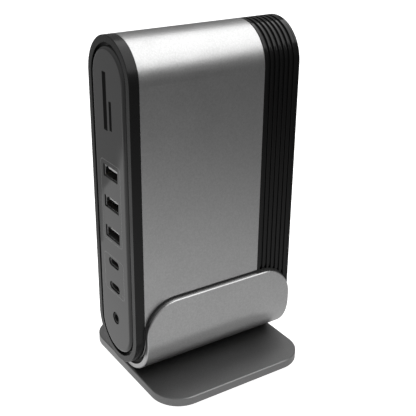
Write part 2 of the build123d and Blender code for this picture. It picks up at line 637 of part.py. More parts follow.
with BuildPart() as main_board:
    with BuildSketch(side_facing(-MAIN_BOARD_THICKNESS)) as board_outline:
        with BuildLine():
            Polyline(
                (MAIN_FRONT_Y, MAIN_BOARD_LOW),
                (MAIN_REAR_Y, MAIN_BOARD_LOW),
                (MAIN_REAR_Y, MAIN_BOARD_HIGH),
                (READER_FRONT_Y, MAIN_BOARD_HIGH),
                (READER_FRONT_Y, BOARD_STEP_Z),
                (MAIN_FRONT_Y, BOARD_STEP_Z),
                close=True,
            )
        make_face()
        with Locations(*MAIN_SCREWS):
            Circle(MAIN_HOLE_RADIUS, mode=Mode.SUBTRACT)
    extrude(amount=MAIN_BOARD_THICKNESS)
main_board.part.label = "main_board"
export_step(main_board.part, "parts/main_board.step")

TRAY_SIZE = (40.0, 142.0)
TRAY_WINDOW = (22.0, 32.0)
TRAY_CORNER = 3.0
TRAY_BOSS_RADIUS = 2.4
with BuildPart() as carrier_frame:
    with BuildSketch(side_facing(TRAY_X, 0, BODY_MID_Z)):
        RectangleRounded(*TRAY_SIZE, TRAY_CORNER)
        for window_z in (-34.0, 12.0):
            with Locations((0, window_z)):
                RectangleRounded(*TRAY_WINDOW, TRAY_CORNER, mode=Mode.SUBTRACT)
    extrude(amount=TRAY_THICKNESS)
    with BuildSketch(side_facing(TRAY_X + TRAY_THICKNESS)):
        with Locations(*MAIN_SCREWS):
            Circle(TRAY_BOSS_RADIUS)
    extrude(amount=-MAIN_BOARD_THICKNESS - TRAY_X - TRAY_THICKNESS)
    with BuildSketch(side_facing(-MAIN_BOARD_THICKNESS)):
        with Locations(*MAIN_SCREWS):
            Circle(SMALL_SCREW_RADIUS + SCREW_FIT)
    extrude(amount=-BOARD_HOLE_DEPTH, mode=Mode.SUBTRACT)
carrier_frame.part.label = "carrier_frame"
export_step(carrier_frame.part, "parts/carrier_frame.step")

with BuildPart() as main_board_screws:
    for screw_y, screw_z in MAIN_SCREWS:
        cross_head_screw(
            side_facing(0, screw_y, screw_z),
            SMALL_SCREW_RADIUS, BOARD_HEAD_RADIUS, BOARD_HEAD_HEIGHT, BOARD_SCREW_LENGTH,
        )
main_board_screws.part.label = "main_board_screws"
export_step(main_board_screws.part, "parts/main_board_screws.step")

# Headers that join the main board to each port board
HEADER_Z, HEADER_LENGTH, HEADER_WIDTH, HEADER_DEPTH = 65.0, 44.0, 5.0, 6.0
FRONT_SOLDER_Y = FRONT_BOARD_Y + BOARD_THICKNESS
with BuildPart() as front_header:
    with BuildSketch(side_facing(0, FRONT_SOLDER_Y + HEADER_DEPTH / 2, HEADER_Z)):
        Rectangle(HEADER_DEPTH, HEADER_LENGTH)
    extrude(amount=HEADER_WIDTH)
front_header.part.label = "front_header"
export_step(front_header.part, "parts/front_header.step")

with BuildPart() as rear_header:
    with BuildSketch(side_facing(0, REAR_BOARD_Y - HEADER_DEPTH / 2, HEADER_Z)):
        Rectangle(HEADER_DEPTH, HEADER_LENGTH)
    extrude(amount=HEADER_WIDTH)
rear_header.part.label = "rear_header"
export_step(rear_header.part, "parts/rear_header.step")

# ---------------------------------------------------------------- parts on the main board
CHIP_HEIGHT = 1.2
CHIP_CHAMFER = 0.2
# Each chip as its y, its height above the floor and the length of its sides
CHIP_PLACES = {
    "display_controller": (-2, 108, 15),
    "hub_controller": (-2, 82, 13),
    "network_controller": (2, 56, 10),
}

for chip_name, (chip_y, chip_z, chip_size) in CHIP_PLACES.items():
    with BuildPart() as chip:
        with BuildSketch(side_facing(0, chip_y, chip_z)):
            Rectangle(chip_size, chip_size)
        extrude(amount=CHIP_HEIGHT)
        chamfer(chip.edges().group_by(Axis.X)[-1], CHIP_CHAMFER)
    chip.part.label = chip_name
    export_step(chip.part, f"parts/{chip_name}.step")

TRANSFORMER_SIZE = (9.5, 14.0)
TRANSFORMER_HEIGHT = 5.5
with BuildPart() as network_transformer:
    with BuildSketch(side_facing(0, 12, 124)):
        Rectangle(*TRANSFORMER_SIZE)
    extrude(amount=TRANSFORMER_HEIGHT)
    fillet(network_transformer.edges().group_by(Axis.X)[-1], 0.5)
network_transformer.part.label = "network_transformer"
export_step(network_transformer.part, "parts/network_transformer.step")

INDUCTOR_SIDE = 6.4
INDUCTOR_HEIGHT = 3.0
INDUCTOR_Z = 34.0
with BuildPart() as power_inductors:
    for inductor_y in (-10, -2, 6):
        with BuildSketch(side_facing(0, inductor_y, INDUCTOR_Z)):
            RectangleRounded(INDUCTOR_SIDE, INDUCTOR_SIDE, 1.0)
        extrude(amount=INDUCTOR_HEIGHT)
power_inductors.part.label = "power_inductors"
export_step(power_inductors.part, "parts/power_inductors.step")

CAPACITOR_RADIUS = 3.1
CAPACITOR_HEIGHT = 5.4
CAPACITOR_Z = 137.0
with BuildPart() as filter_capacitors:
    for capacitor_y in (-12, -3, 6):
        with BuildSketch(side_facing(0, capacitor_y, CAPACITOR_Z)):
            Circle(CAPACITOR_RADIUS)
        extrude(amount=CAPACITOR_HEIGHT)
        fillet(filter_capacitors.edges().group_by(Axis.X)[-1].filter_by(GeomType.CIRCLE), 0.4)
filter_capacitors.part.label = "filter_capacitors"
export_step(filter_capacitors.part, "parts/filter_capacitors.step")

# ---------------------------------------------------------------- heat path to the sleeve
PAD_HEIGHT = 1.5
SPREADER_X = CHIP_HEIGHT + PAD_HEIGHT
SPREADER_THICKNESS = 1.5
SPREADER_LOW, SPREADER_HIGH = 46.0, 116.0
SPREADER_HALF_DEPTH = 13.0
SPREADER_LIP = 6.0
GAP_PAD = 0.8
GAP_PAD_WIDTH = 5.0
LIP_X = BODY_WIDTH / 2 - SLEEVE_WALL - GAP_PAD

with BuildPart() as thermal_pads:
    for chip_y, chip_z, chip_size in CHIP_PLACES.values():
        with BuildSketch(side_facing(CHIP_HEIGHT, chip_y, chip_z)):
            Rectangle(chip_size - 1, chip_size - 1)
        extrude(amount=PAD_HEIGHT)
thermal_pads.part.label = "thermal_pads"
export_step(thermal_pads.part, "parts/thermal_pads.step")

# Top-hat section: the crown lies on the chips and the two lips lie along the sleeve
with BuildPart() as heat_spreader:
    with BuildSketch(Plane.XY.offset(SPREADER_LOW)):
        with BuildLine() as hat:
            Polyline(
                (LIP_X - SPREADER_THICKNESS / 2, -SPREADER_HALF_DEPTH - SPREADER_LIP),
                (LIP_X - SPREADER_THICKNESS / 2, -SPREADER_HALF_DEPTH),
                (SPREADER_X + SPREADER_THICKNESS / 2, -SPREADER_HALF_DEPTH),
                (SPREADER_X + SPREADER_THICKNESS / 2, SPREADER_HALF_DEPTH),
                (LIP_X - SPREADER_THICKNESS / 2, SPREADER_HALF_DEPTH),
                (LIP_X - SPREADER_THICKNESS / 2, SPREADER_HALF_DEPTH + SPREADER_LIP),
            )
        trace(hat.wire(), SPREADER_THICKNESS)
    extrude(amount=SPREADER_HIGH - SPREADER_LOW)
heat_spreader.part.label = "heat_spreader"
export_step(heat_spreader.part, "parts/heat_spreader.step")

with BuildPart() as gap_pads:
    for side in (1, -1):
        pad_centre = side * (SPREADER_HALF_DEPTH + SPREADER_LIP / 2)
        with BuildSketch(side_facing(LIP_X, pad_centre, (SPREADER_LOW + SPREADER_HIGH) / 2)):
            Rectangle(GAP_PAD_WIDTH, SPREADER_HIGH - SPREADER_LOW - 2)
        extrude(amount=GAP_PAD)
gap_pads.part.label = "gap_pads"
export_step(gap_pads.part, "parts/gap_pads.step")

# ---------------------------------------------------------------- card readers and audio socket
READER_FACE_Y = FLOOR_BACK_Y - 1.0
SD_CASE_X = -2.7
SD_CASE_SIZE = (3.0, 27.6, 27.0)
SD_CARD_SPACE = (2.3, 24.4, 24.0)
MICRO_CASE_X = 1.5
MICRO_CASE_SIZE = (3.0, 14.6, 15.0)
MICRO_CARD_SPACE = (1.2, 11.4, 12.5)

with BuildPart() as sd_card_socket:
    with BuildSketch(front_facing(READER_FACE_Y, SD_CASE_X, SD_SLOT_Z)):
        Rectangle(*SD_CASE_SIZE[:2])
    extrude(amount=-SD_CASE_SIZE[2])
    with BuildSketch(front_facing(READER_FACE_Y, SD_SLOT_X, SD_SLOT_Z)):
        Rectangle(*SD_CARD_SPACE[:2])
    extrude(amount=-SD_CARD_SPACE[2], mode=Mode.SUBTRACT)
sd_card_socket.part.label = "sd_card_socket"
export_step(sd_card_socket.part, "parts/sd_card_socket.step")

with BuildPart() as microsd_socket:
    with BuildSketch(front_facing(READER_FACE_Y, MICRO_CASE_X, MICRO_SLOT_Z)):
        Rectangle(*MICRO_CASE_SIZE[:2])
    extrude(amount=-MICRO_CASE_SIZE[2])
    with BuildSketch(front_facing(READER_FACE_Y, MICRO_SLOT_X, MICRO_SLOT_Z)):
        Rectangle(*MICRO_CARD_SPACE[:2])
    extrude(amount=-MICRO_CARD_SPACE[2], mode=Mode.SUBTRACT)
microsd_socket.part.label = "microsd_socket"
export_step(microsd_socket.part, "parts/microsd_socket.step")

AUDIO_FACE_Y = PANEL_FACE_Y + 0.3
AUDIO_BODY_Y = FLOOR_BACK_Y + 0.3
AUDIO_BODY_SIZE = (8.0, 7.0)
AUDIO_LIP_CHAMFER = 0.25
with BuildPart() as audio_jack:
    with BuildSketch(front_facing(AUDIO_FACE_Y, z=AUDIO_HEIGHT)):
        Circle(AUDIO_NOZZLE_RADIUS)
    extrude(amount=-(AUDIO_BODY_Y - AUDIO_FACE_Y))
    chamfer(audio_jack.edges().group_by(Axis.Y)[0], AUDIO_LIP_CHAMFER)
    with BuildSketch(front_facing(AUDIO_BODY_Y, z=AUDIO_HEIGHT)):
        RectangleRounded(*AUDIO_BODY_SIZE, 0.8)
    extrude(amount=-(FRONT_BOARD_Y - AUDIO_BODY_Y))
    with BuildSketch(front_facing(AUDIO_FACE_Y, z=AUDIO_HEIGHT)):
        Circle(AUDIO_BORE_RADIUS)
    extrude(amount=-AUDIO_BORE_LENGTH, mode=Mode.SUBTRACT)
audio_jack.part.label = "audio_jack"
export_step(audio_jack.part, "parts/audio_jack.step")

LED_SIZE = (1.6, 0.8)
LED_HEIGHT = 0.6
PIPE_FACE_Y = PANEL_FACE_Y + 0.05
PIPE_BACK_Y = FRONT_BOARD_Y - LED_HEIGHT - 0.25
with BuildPart() as indicator_light_pipe:
    with BuildSketch(front_facing(PIPE_FACE_Y, INDICATOR_X, INDICATOR_Z)):
        Circle(INDICATOR_RADIUS)
    extrude(amount=-(PIPE_BACK_Y - PIPE_FACE_Y))
indicator_light_pipe.part.label = "indicator_light_pipe"
export_step(indicator_light_pipe.part, "parts/indicator_light_pipe.step")

with BuildPart() as indicator_led:
    with BuildSketch(front_facing(FRONT_BOARD_Y, INDICATOR_X, INDICATOR_Z)):
        Rectangle(*LED_SIZE)
    extrude(amount=LED_HEIGHT)
indicator_led.part.label = "indicator_led"
export_step(indicator_led.part, "parts/indicator_led.step")


# ---------------------------------------------------------------- data connectors
BLOCK_FIT = 0.05
USB_A_TONGUE = (11.1, 1.84)
USB_A_TONGUE_RISE = 1.15
USB_A_TONGUE_SETBACK = 0.9
USB_A_BLOCK_LENGTH = 4.5
USB_C_TONGUE = (6.7, 0.7)
USB_C_TONGUE_SETBACK = 0.8
USB_C_CAVITY_LENGTH = 6.5
HDMI_TONGUE = (11.2, 1.5)
HDMI_TONGUE_RISE = 0.3
HDMI_TONGUE_SETBACK = 1.0
HDMI_BLOCK_LENGTH = 5.0
HDMI_CORNER = 1.7


def shell_inside(size, gap=0.0):
    """Inner width and height of a connector shell, less a gap on every side."""
    return [side - 2 * (SHELL_WALL + gap) for side in size]


def usb_a_socket(face, length, number):
    """USB-A shell and tongue behind a face plane that looks out of the opening."""
    with BuildPart() as shell:
        with BuildSketch(face):
            RectangleRounded(*USB_A_SIZE, USB_A_CORNER)
            Rectangle(*shell_inside(USB_A_SIZE), mode=Mode.SUBTRACT)
        extrude(amount=-length)
    shell.part.label = f"usb_a_shell_{number}"
    export_step(shell.part, f"parts/usb_a_shell_{number}.step")

    with BuildPart() as tongue:
        with BuildSketch(face.offset(-USB_A_TONGUE_SETBACK)):
            with Locations((0, USB_A_TONGUE_RISE)):
                Rectangle(*USB_A_TONGUE)
        extrude(amount=-(length - USB_A_TONGUE_SETBACK))
        with BuildSketch(face.offset(-length)):
            Rectangle(*shell_inside(USB_A_SIZE, BLOCK_FIT))
        extrude(amount=USB_A_BLOCK_LENGTH)
    tongue.part.label = f"usb_a_tongue_{number}"
    export_step(tongue.part, f"parts/usb_a_tongue_{number}.step")


def usb_c_socket(face, length, number):
    """USB-C shell and tongue behind a face plane that looks out of the opening."""
    with BuildPart() as shell:
        with BuildSketch(face):
            SlotOverall(*USB_C_SIZE)
            SlotOverall(*shell_inside(USB_C_SIZE), mode=Mode.SUBTRACT)
        extrude(amount=-length)
    shell.part.label = f"usb_c_shell_{number}"
    export_step(shell.part, f"parts/usb_c_shell_{number}.step")

    with BuildPart() as tongue:
        with BuildSketch(face.offset(-USB_C_TONGUE_SETBACK)):
            Rectangle(*USB_C_TONGUE)
        extrude(amount=-(length - USB_C_TONGUE_SETBACK))
        with BuildSketch(face.offset(-length)):
            SlotOverall(*shell_inside(USB_C_SIZE, BLOCK_FIT))
        extrude(amount=length - USB_C_CAVITY_LENGTH)
    tongue.part.label = f"usb_c_tongue_{number}"
    export_step(tongue.part, f"parts/usb_c_tongue_{number}.step")


def hdmi_socket(face, length, number):
    """HDMI shell with its tapered lower corners, and the tongue inside it."""
    with BuildPart() as shell:
        with BuildSketch(face) as profile:
            Rectangle(*HDMI_SIZE)
            chamfer(profile.vertices().group_by(Axis.Y)[0], HDMI_CORNER)
            offset(amount=-SHELL_WALL, kind=Kind.INTERSECTION, mode=Mode.SUBTRACT)
        extrude(amount=-length)
    shell.part.label = f"hdmi_shell_{number}"
    export_step(shell.part, f"parts/hdmi_shell_{number}.step")

    with BuildPart() as tongue:
        with BuildSketch(face.offset(-HDMI_TONGUE_SETBACK)):
            with Locations((0, HDMI_TONGUE_RISE)):
                Rectangle(*HDMI_TONGUE)
        extrude(amount=-(length - HDMI_TONGUE_SETBACK))
        with BuildSketch(face.offset(-length)) as block:
            Rectangle(*shell_inside(HDMI_SIZE, 2 * BLOCK_FIT))
            chamfer(block.vertices().group_by(Axis.Y)[0], HDMI_CORNER)
        extrude(amount=HDMI_BLOCK_LENGTH)
    tongue.part.label = f"hdmi_tongue_{number}"
    export_step(tongue.part, f"parts/hdmi_tongue_{number}.step")


for count, port_z in enumerate(USB_A_HEIGHTS, start=1):
    usb_a_socket(front_facing(CONNECTOR_FACE_Y, z=port_z), FRONT_LENGTH, count)
for count, port_z in enumerate(REAR_USB_A_HEIGHTS, start=len(USB_A_HEIGHTS) + 1):
    usb_a_socket(rear_facing(REAR_CONNECTOR_FACE_Y, z=port_z), REAR_LENGTH, count)
for count, port_z in enumerate(USB_C_HEIGHTS, start=1):
    usb_c_socket(front_facing(CONNECTOR_FACE_Y, z=port_z), FRONT_LENGTH, count)
for count, port_z in enumerate(REAR_USB_C_HEIGHTS, start=len(USB_C_HEIGHTS) + 1):
    usb_c_socket(rear_facing(REAR_CONNECTOR_FACE_Y, z=port_z), REAR_LENGTH, count)
for count, port_z in enumerate(HDMI_HEIGHTS, start=1):
    hdmi_socket(rear_facing(REAR_CONNECTOR_FACE_Y, z=port_z), REAR_LENGTH, count)

# The plug space in the jack, and the two steps below it that take the plug's latch
PLUG_SPACE = (11.9, 8.0)
LATCH_SPACE = (6.2, 2.0)
LATCH_TIP_SPACE = (3.4, 1.4)
PLUG_SPACE_RISE = 0.8
PLUG_SPACE_LENGTH = 12.5
LATCH_Y = PLUG_SPACE_RISE - (PLUG_SPACE[1] + LATCH_SPACE[1]) / 2 + 0.3
LATCH_TIP_Y = LATCH_Y - (LATCH_SPACE[1] + LATCH_TIP_SPACE[1]) / 2 + 0.4

with BuildPart() as ethernet_jack:
    with BuildSketch(rear_facing(REAR_CONNECTOR_FACE_Y, z=ETHERNET_HEIGHT)):
        RectangleRounded(*ETHERNET_SIZE, 0.3)
    extrude(amount=-REAR_LENGTH)
    with BuildSketch(rear_facing(REAR_CONNECTOR_FACE_Y, z=ETHERNET_HEIGHT)):
        with Locations((0, PLUG_SPACE_RISE)):
            Rectangle(*PLUG_SPACE)
        with Locations((0, LATCH_Y)):
            Rectangle(*LATCH_SPACE)
        with Locations((0, LATCH_TIP_Y)):
            Rectangle(*LATCH_TIP_SPACE)
    extrude(amount=-PLUG_SPACE_LENGTH, mode=Mode.SUBTRACT)
ethernet_jack.part.label = "ethernet_jack"
export_step(ethernet_jack.part, "parts/ethernet_jack.step")
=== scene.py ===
import json
import math

import bmesh
import bpy
from mathutils import Matrix, Vector


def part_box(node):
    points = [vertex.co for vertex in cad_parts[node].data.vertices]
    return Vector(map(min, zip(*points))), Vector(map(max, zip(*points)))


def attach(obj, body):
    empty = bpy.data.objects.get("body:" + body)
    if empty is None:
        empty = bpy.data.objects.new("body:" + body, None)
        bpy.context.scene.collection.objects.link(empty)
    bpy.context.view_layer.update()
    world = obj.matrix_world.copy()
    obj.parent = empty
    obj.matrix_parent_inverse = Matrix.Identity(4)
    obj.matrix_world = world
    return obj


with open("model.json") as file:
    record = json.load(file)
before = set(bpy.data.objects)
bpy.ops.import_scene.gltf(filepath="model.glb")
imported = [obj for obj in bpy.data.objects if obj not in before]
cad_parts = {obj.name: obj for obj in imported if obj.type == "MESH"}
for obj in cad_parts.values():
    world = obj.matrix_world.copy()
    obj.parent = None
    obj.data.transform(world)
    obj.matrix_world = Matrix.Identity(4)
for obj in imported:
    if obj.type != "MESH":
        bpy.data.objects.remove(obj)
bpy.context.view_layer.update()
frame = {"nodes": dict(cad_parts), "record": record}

MM = 0.001

# ---------------------------------------------------------------- camera
AZIMUTH = math.radians(56.486)
ELEVATION = math.radians(24.248)
ROLL = math.radians(0.706)
DISTANCE = 0.37425
TARGET = Vector((0.0107, 0.00026, 0.08085))
LENS_MM = 71.10
SENSOR_MM = 36.0


def make_camera():
    """Camera on a sphere round the target; at azimuth 0 it faces the ports and looks along +Y."""
    back = Vector((
        math.sin(AZIMUTH) * math.cos(ELEVATION),
        -math.cos(AZIMUTH) * math.cos(ELEVATION),
        math.sin(ELEVATION),
    ))
    right = Vector((0, 0, 1)).cross(back).normalized()
    up = back.cross(right)
    rolled_right = right * math.cos(ROLL) + up * math.sin(ROLL)
    rolled_up = up * math.cos(ROLL) - right * math.sin(ROLL)
    data = bpy.data.cameras.new("photo_camera")
    data.lens = LENS_MM
    data.sensor_width = SENSOR_MM
    camera = bpy.data.objects.new("photo_camera", data)
    bpy.context.scene.collection.objects.link(camera)
    rotation = Matrix((rolled_right, rolled_up, back)).transposed()
    camera.matrix_world = Matrix.Translation(TARGET + back * DISTANCE) @ rotation.to_4x4()
    bpy.context.scene.camera = camera


# ---------------------------------------------------------------- light and floor
WORLD_LOW = 0.16
WORLD_HIGH = 0.42
WORLD_HIGH_FROM = 0.8
WORLD_SEEN = 1.0


def make_world():
    """Dim room for reflections and bounce, white where the camera looks past the floor."""
    world = bpy.data.worlds.new("studio")
    world.use_nodes = True
    bpy.context.scene.world = world
    nodes, links = world.node_tree.nodes, world.node_tree.links
    background = nodes["Background"]
    coordinates = nodes.new("ShaderNodeTexCoord")
    split = nodes.new("ShaderNodeSeparateXYZ")
    ramp = nodes.new("ShaderNodeValToRGB")
    ramp.color_ramp.elements[0].position = 0.0
    ramp.color_ramp.elements[0].color = (WORLD_LOW,) * 3 + (1,)
    ramp.color_ramp.elements[1].position = WORLD_HIGH_FROM
    ramp.color_ramp.elements[1].color = (WORLD_HIGH,) * 3 + (1,)
    path = nodes.new("ShaderNodeLightPath")
    seen = nodes.new("ShaderNodeMix")
    seen.data_type = "RGBA"
    seen.inputs["B"].default_value = (WORLD_SEEN,) * 3 + (1,)
    links.new(coordinates.outputs["Generated"], split.inputs["Vector"])
    links.new(split.outputs["Z"], ramp.inputs["Fac"])
    links.new(ramp.outputs["Color"], seen.inputs["A"])
    links.new(path.outputs["Is Camera Ray"], seen.inputs["Factor"])
    links.new(seen.outputs["Result"], background.inputs["Color"])


def area_light(name, place, aim, size, watts):
    """Soft rectangular light; its sizes and place are in metres."""
    data = bpy.data.lights.new(name, "AREA")
    data.shape = "RECTANGLE"
    data.size, data.size_y = size
    data.energy = watts
    lamp = bpy.data.objects.new(name, data)
    bpy.context.scene.collection.objects.link(lamp)
    direction = Vector(aim) - Vector(place)
    lamp.location = place
    lamp.rotation_euler = direction.to_track_quat("-Z", "Y").to_euler()
    return lamp


def flat_sheet(name, outline, height, material):
    """Level sheet of the stage with the given corners."""
    mesh = bpy.data.meshes.new(name)
    mesh.from_pydata([(x, y, height) for x, y in outline], [], [tuple(range(len(outline)))])
    mesh.materials.append(material)
    sheet = bpy.data.objects.new(name, mesh)
    bpy.context.scene.collection.objects.link(sheet)
    return sheet


PAPER_WHITE = 0.85
PAPER_ROUGHNESS = 0.9
PAPER_GLOW = 0.72


def paper_material():
    """White sweep that glows a little, so that only the contact shadows show on it."""
    material = bpy.data.materials.new("white_paper")
    material.use_nodes = True
    shader = material.node_tree.nodes["Principled BSDF"]
    shader.inputs["Base Color"].default_value = (PAPER_WHITE,) * 3 + (1,)
    shader.inputs["Roughness"].default_value = PAPER_ROUGHNESS
    shader.inputs["Specular IOR Level"].default_value = 0.0
    shader.inputs["Emission Color"].default_value = (1, 1, 1, 1)
    shader.inputs["Emission Strength"].default_value = PAPER_GLOW
    return material


def card_material(name, near, far, reach, centre_y):
    """Glow that fades from its near to its far value with distance from its centre."""
    material = bpy.data.materials.new(name)
    material.use_nodes = True
    nodes, links = material.node_tree.nodes, material.node_tree.links
    nodes.clear()
    output = nodes.new("ShaderNodeOutputMaterial")
    glow = nodes.new("ShaderNodeEmission")
    coordinates = nodes.new("ShaderNodeTexCoord")
    shift = nodes.new("ShaderNodeVectorMath")
    shift.operation = "SUBTRACT"
    shift.inputs[1].default_value = (0, centre_y, 0)
    length = nodes.new("ShaderNodeVectorMath")
    length.operation = "LENGTH"
    fade = nodes.new("ShaderNodeMapRange")
    fade.interpolation_type = "SMOOTHERSTEP"
    fade.inputs["From Max"].default_value = reach
    fade.inputs["To Min"].default_value = near
    fade.inputs["To Max"].default_value = far
    links.new(coordinates.outputs["Object"], shift.inputs[0])
    links.new(shift.outputs["Vector"], length.inputs[0])
    links.new(length.outputs["Value"], fade.inputs["Value"])
    links.new(fade.outputs["Result"], glow.inputs["Strength"])
    links.new(glow.outputs["Emission"], output.inputs["Surface"])
    return material


def reflected_only(sheet):
    """Leaves a sheet visible in glossy reflections alone."""
    sheet.visible_camera = False
    sheet.visible_diffuse = False
    sheet.visible_shadow = False


FLOOR_REACH = 6.0
FLOOR_Z = -0.0002
# Cards that only reflections see: name, corners, height, near and far strength, the distance
# over which one fades to the other, and the fade's centre along Y; lengths are in metres
CARDS = (
    # What the side of the housing reflects: pale near the stand and dim far away
    (
        "side_card",
        ((0.0, -0.35), (1.6, -0.35), (1.6, 1.2), (-0.30, 1.2), (-0.30, 0.10), (0.0, 0.0)),
        -0.0004, 0.75, 0.16, 0.55, -0.10,
    ),
    # What the lower half of the panel reflects; its outer edge is the line across the panel
    (
        "front_card",
        (
            (0.0, 0.0), (0.0, -0.36), (-0.50, -0.36), (-0.269, -0.187), (-0.239, -0.168),
            (-0.217, -0.148), (-0.209, -0.140), (-0.201, -0.135), (-0.190, -0.129),
            (-0.167, -0.118), (-0.133, -0.101), (-0.10, -0.05),
        ),
        -0.0005, 0.94, 0.90, 0.40, 0.0,
    ),
    # What the upper half of the panel reflects, beyond that edge
    (
        "far_front_card",
        ((0.0, 0.0), (0.0, -1.5), (-2.0, -1.5), (-2.0, 0.0)),
        -0.0007, 0.42, 0.42, 1.0, 0.0,
    ),
    # What the rounded left edge of the panel and bezel reflects
    (
        "left_card",
        ((-0.08, -0.02), (-0.03, 0.9), (-1.2, 0.9), (-1.2, -0.02)),
        -0.0006, 1.0, 1.0, 1.0, 0.0,
    ),
)
SOFTBOX_PLACE = (0.52, 0.52, 0.95)
SOFTBOX_AIM = (0.52, 0.52, 0.0)
SOFTBOX_SIZE = (2.10, 0.90)
SOFTBOX_WATTS = 12.3
FILL_PLACE = (0.35, -0.75, 0.45)
FILL_AIM = (0.0, -0.04, 0.08)
FILL_SIZE = (0.5, 0.5)
FILL_WATTS = 6.0


def make_stage():
    """Floor, reflector cards and lights."""
    corners = [(-1, -1), (1, -1), (1, 1), (-1, 1)]
    outline = [(x * FLOOR_REACH, y * FLOOR_REACH) for x, y in corners]
    floor = flat_sheet("floor", outline, FLOOR_Z, paper_material())
    floor.visible_glossy = False
    floor.visible_diffuse = False
    for name, outline, height, near, far, reach, centre_y in CARDS:
        glow = card_material(name.replace("card", "glow"), near, far, reach, centre_y)
        reflected_only(flat_sheet(name, outline, height, glow))
    area_light("overhead_softbox", SOFTBOX_PLACE, SOFTBOX_AIM, SOFTBOX_SIZE, SOFTBOX_WATTS)
    fill = area_light("front_fill", FILL_PLACE, FILL_AIM, FILL_SIZE, FILL_WATTS)
    fill.visible_glossy = False


# ---------------------------------------------------------------- materials
FINE_DETAIL = 3.0
BROAD_DETAIL = 4.0
BROAD_RATIO = 25
NOISE_LOW = 0.3
NOISE_HIGH = 0.7
RELIEF_DEPTH = 0.0001


def surface(name, color, roughness, metallic=0.0, grain=1500.0, tint=0.05, spread=0.04,
            bump=0.04, **sockets):
    """Principled surface: fine noise in its colour and height, broad noise in its roughness."""
    material = bpy.data.materials.new(name)
    material.use_nodes = True
    nodes, links = material.node_tree.nodes, material.node_tree.links
    shader = nodes["Principled BSDF"]
    shader.inputs["Metallic"].default_value = metallic
    for socket, value in sockets.items():
        shader.inputs[socket.replace("_", " ")].default_value = value
    coordinates = nodes.new("ShaderNodeTexCoord")
    fine = nodes.new("ShaderNodeTexNoise")
    fine.inputs["Scale"].default_value = grain
    fine.inputs["Detail"].default_value = FINE_DETAIL
    broad = nodes.new("ShaderNodeTexNoise")
    broad.inputs["Scale"].default_value = grain / BROAD_RATIO
    broad.inputs["Detail"].default_value = BROAD_DETAIL
    links.new(coordinates.outputs["Object"], fine.inputs["Vector"])
    links.new(coordinates.outputs["Object"], broad.inputs["Vector"])
    ramp = nodes.new("ShaderNodeValToRGB")
    ramp.color_ramp.elements[0].position = NOISE_LOW
    ramp.color_ramp.elements[1].position = NOISE_HIGH
    ramp.color_ramp.elements[0].color = tuple(c * (1 - tint) for c in color) + (1,)
    ramp.color_ramp.elements[1].color = tuple(min(c * (1 + tint), 1) for c in color) + (1,)
    links.new(fine.outputs["Fac"], ramp.inputs["Fac"])
    links.new(ramp.outputs["Color"], shader.inputs["Base Color"])
    rough = nodes.new("ShaderNodeMapRange")
    rough.inputs["From Min"].default_value = NOISE_LOW
    rough.inputs["From Max"].default_value = NOISE_HIGH
    rough.inputs["To Min"].default_value = max(roughness - spread, 0.0)
    rough.inputs["To Max"].default_value = min(roughness + spread, 1.0)
    links.new(broad.outputs["Fac"], rough.inputs["Value"])
    links.new(rough.outputs["Result"], shader.inputs["Roughness"])
    if bump:
        relief = nodes.new("ShaderNodeBump")
        relief.inputs["Strength"].default_value = bump
        relief.inputs["Distance"].default_value = RELIEF_DEPTH
        links.new(fine.outputs["Fac"], relief.inputs["Height"])
        links.new(relief.outputs["Normal"], shader.inputs["Normal"])
    return material


def grey(value):
    return (value, value, value)


# Printed outlines round the port groups: centre height, half width, half height, corner, in metres
OUTLINES = (
    (0.0890, 0.0088, 0.0190, 0.0018),
    (0.0533, 0.0091, 0.0093, 0.0018),
)
OUTLINE_HALF_WIDTH = 0.00013
OUTLINE_GREY = 0.12


def print_outlines(material):
    """Adds the pale printed lines to the panel's colour, as distances from rounded rectangles."""
    nodes, links = material.node_tree.nodes, material.node_tree.links
    shader = nodes["Principled BSDF"]
    coordinates = nodes.new("ShaderNodeTexCoord")
    color = shader.inputs["Base Color"].links[0].from_socket

    def vector_step(operation, source, value=None):
        node = nodes.new("ShaderNodeVectorMath")
        node.operation = operation
        links.new(source, node.inputs[0])
        if value is not None:
            node.inputs[1].default_value = value
        return node.outputs["Value" if operation == "LENGTH" else "Vector"]

    def number_step(operation, source, value=0.0):
        node = nodes.new("ShaderNodeMath")
        node.operation = operation
        links.new(source, node.inputs[0])
        node.inputs[1].default_value = value
        return node.outputs["Value"]

    for height, half_width, half_height, corner in OUTLINES:
        place = vector_step("SUBTRACT", coordinates.outputs["Object"], (0, 0, height))
        place = vector_step("MULTIPLY", place, (1, 0, 1))
        place = vector_step("ABSOLUTE", place)
        place = vector_step("SUBTRACT", place, (half_width - corner, 0, half_height - corner))
        place = vector_step("MAXIMUM", place, (0, 0, 0))
        away = vector_step("LENGTH", place)
        away = number_step("SUBTRACT", away, corner)
        away = number_step("ABSOLUTE", away)
        inked = number_step("LESS_THAN", away, OUTLINE_HALF_WIDTH)
        mix = nodes.new("ShaderNodeMix")
        mix.data_type = "RGBA"
        links.new(inked, mix.inputs["Factor"])
        links.new(color, mix.inputs["A"])
        mix.inputs["B"].default_value = (OUTLINE_GREY,) * 3 + (1,)
        color = mix.outputs["Result"]
    links.new(color, shader.inputs["Base Color"])
    return material


